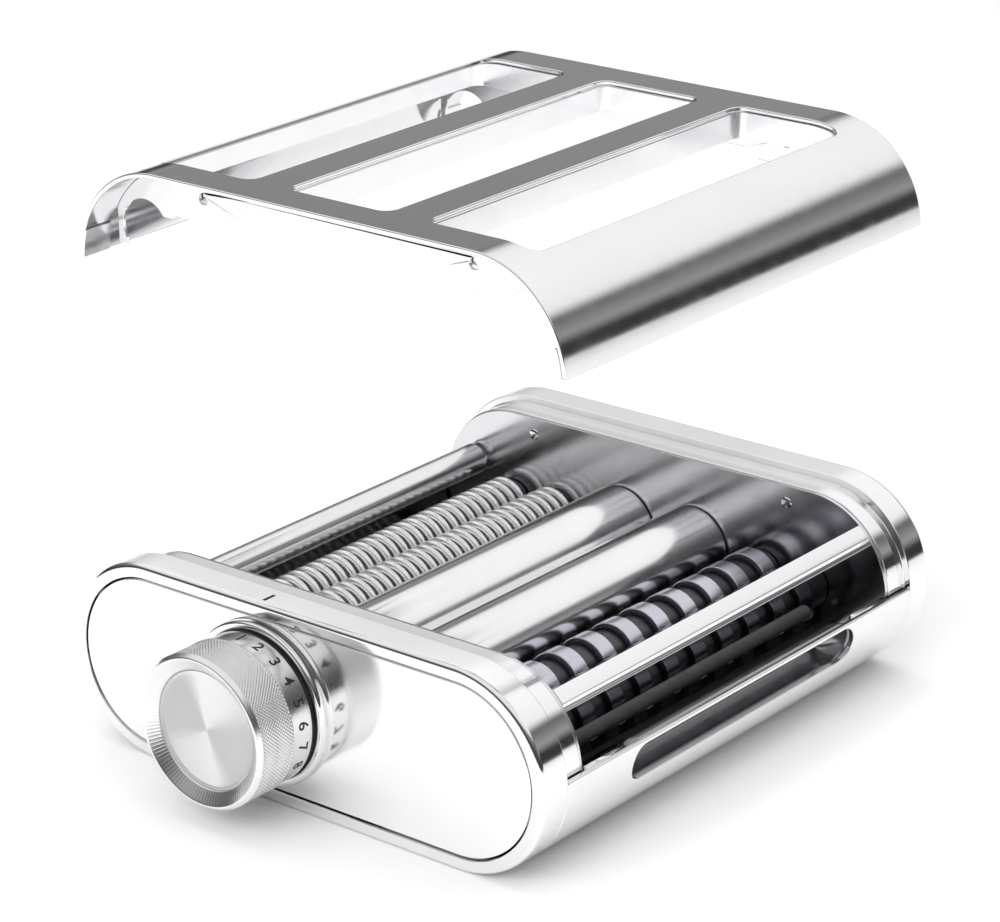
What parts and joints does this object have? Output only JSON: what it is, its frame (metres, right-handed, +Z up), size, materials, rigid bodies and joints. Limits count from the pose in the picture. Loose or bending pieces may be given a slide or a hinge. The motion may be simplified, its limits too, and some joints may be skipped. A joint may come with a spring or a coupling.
{
  "type": "pasta roller attachment",
  "caption": "Pasta rolling and cutting attachment with smooth rollers, wide and narrow noodle cutters, thickness dial, drive hub and lift-off slotted cover.",
  "frame": {"origin": "middle of the underside of the body, centred between the ends of the dial and the drive shaft", "axes": "+X across the rollers towards the wide cutters, +Y along the rollers towards the drive hub, +Z up"},
  "size_m": [0.173, 0.2352, 0.172],
  "materials": {
    "cap_metal": "fine brushed top, polished edge",
    "face_panel": "glossy near-white mirror",
    "mirror_plate": "mirror polished",
    "bronze_bush": "sintered bronze",
    "dark_mark": "matte",
    "chrome_trim": "mirror polished",
    "shell_steel": "polished",
    "pocket_steel": "satin",
    "rail_steel": "polished",
    "dark_rod": "matte",
    "comb_plastic": "matte",
    "roller_steel": "polished",
    "cutter_steel": "polished",
    "machined_steel": "machined",
    "dial_metal": "diamond knurl, satin",
    "spun_metal": "spun, fine rings",
    "scale_metal": "satin with dark numbers",
    "cover_steel": "polished",
    "rib_steel": "polished",
    "chute_steel": "polished"
  },
  "bodies": {
    "housing": {"front_end_cap": "cap_metal", "front_face_panel": "face_panel", "front_wall_plate": "mirror_plate", "front_bushes": "bronze_bush", "front_detent_studs": "mirror_plate", "index_mark": "dark_mark", "dial_base_ring": "chrome_trim", "rear_end_cap": "cap_metal", "rear_face_panel": "face_panel", "rear_wall_plate": "mirror_plate", "rear_bushes": "bronze_bush", "rear_detent_studs": "mirror_plate", "hub_sleeve": "chrome_trim", "idler_pin": "machined_steel", "lower_shell": "shell_steel", "grip_pocket": "pocket_steel", "left_rail": "rail_steel", "right_rail": "rail_steel", "tie_rod_left": "rail_steel", "tie_rod_right": "rail_steel", "guard_rod": "dark_rod", "spaghetti_comb_left": "comb_plastic", "spaghetti_comb_right": "comb_plastic", "fettuccine_comb_left": "comb_plastic", "fettuccine_comb_right": "comb_plastic", "scraper_left": "comb_plastic", "scraper_right": "comb_plastic"},
    "drive_train": {"drive_roller": "roller_steel", "drive_shaft": "machined_steel", "drive_pinion": "machined_steel", "drive_gear": "machined_steel"},
    "idler": {"idler_gear": "machined_steel"},
    "carrier": {"front_carrier": "machined_steel", "rear_carrier": "machined_steel", "carrier_link_bar": "machined_steel"},
    "adjustable": {"adjustable_roller": "roller_steel", "adjustable_shaft": "machined_steel", "adjustable_gear": "machined_steel"},
    "spaghetti_left": {"spaghetti_cutter_left": "cutter_steel", "spaghetti_gear_left": "machined_steel"},
    "spaghetti_right": {"spaghetti_cutter_right": "cutter_steel", "spaghetti_gears_right": "machined_steel"},
    "fettuccine_left": {"fettuccine_cutter_left": "cutter_steel", "fettuccine_gears_left": "machined_steel"},
    "fettuccine_right": {"fettuccine_cutter_right": "cutter_steel", "fettuccine_gear_right": "machined_steel"},
    "dial_core": {"dial_shaft": "machined_steel"},
    "dial": {"dial_grip": "dial_metal", "dial_face": "spun_metal", "dial_scale": "scale_metal"},
    "cover": {"cover_shell": "cover_steel", "cover_rib_front": "rib_steel", "cover_rib_rear": "rib_steel", "feed_chute_left": "chute_steel", "feed_chute_middle": "chute_steel", "feed_chute_right": "chute_steel", "cover_feet_left": "rib_steel", "cover_feet_right": "rib_steel"}
  },
  "joints": [
    {"name": "drive_spin", "type": "hinge", "parent": "housing", "child": "drive_train", "pos_m": [0.0139, 0, 0.03], "axis": [0, -1, 0], "continuous": true},
    {"name": "idler_spin", "type": "hinge", "parent": "housing", "child": "idler", "pos_m": [-0.01542, 0, 0.02416], "axis": [0, -1, 0], "continuous": true},
    {"name": "gap_slide", "type": "slide", "parent": "housing", "child": "carrier", "axis": [1, 0, 0], "range_m": [0, 0.0016]},
    {"name": "adjustable_spin", "type": "hinge", "parent": "carrier", "child": "adjustable", "pos_m": [-0.0139, 0, 0.03], "axis": [0, -1, 0], "continuous": true},
    {"name": "spaghetti_left_spin", "type": "hinge", "parent": "housing", "child": "spaghetti_left", "pos_m": [-0.05672, 0, 0.028], "axis": [0, -1, 0], "continuous": true},
    {"name": "spaghetti_right_spin", "type": "hinge", "parent": "housing", "child": "spaghetti_right", "pos_m": [-0.03982, 0, 0.028], "axis": [0, -1, 0], "continuous": true},
    {"name": "fettuccine_left_spin", "type": "hinge", "parent": "housing", "child": "fettuccine_left", "pos_m": [0.03982, 0, 0.028], "axis": [0, -1, 0], "continuous": true},
    {"name": "fettuccine_right_spin", "type": "hinge", "parent": "housing", "child": "fettuccine_right", "pos_m": [0.05672, 0, 0.028], "axis": [0, -1, 0], "continuous": true},
    {"name": "dial_turn", "type": "hinge", "parent": "housing", "child": "dial_core", "pos_m": [-0.0135, 0, 0.03], "axis": [0, -1, 0], "range_deg": [0, 119]},
    {"name": "dial_pull", "type": "slide", "parent": "dial_core", "child": "dial", "axis": [0, -1, 0], "range_m": [0, 0.004], "stiffness_N_per_m": 400, "springref_m": -0.01},
    {"name": "cover_lift", "type": "slide", "parent": "housing", "child": "cover", "axis": [0, 0, 1], "range_m": [-0.112, 0]}
  ],
  "couplings": [
    {"joint": "adjustable_spin", "follows": "drive_spin", "ratio": -1},
    {"joint": "idler_spin", "follows": "drive_spin", "ratio": -1.0909},
    {"joint": "spaghetti_right_spin", "follows": "drive_spin", "ratio": 1.5},
    {"joint": "spaghetti_left_spin", "follows": "drive_spin", "ratio": -1.5},
    {"joint": "fettuccine_left_spin", "follows": "drive_spin", "ratio": -1.5},
    {"joint": "fettuccine_right_spin", "follows": "drive_spin", "ratio": 1.5},
    {"joint": "dial_turn", "follows": "gap_slide", "rad_per_m": 1298}
  ]
}
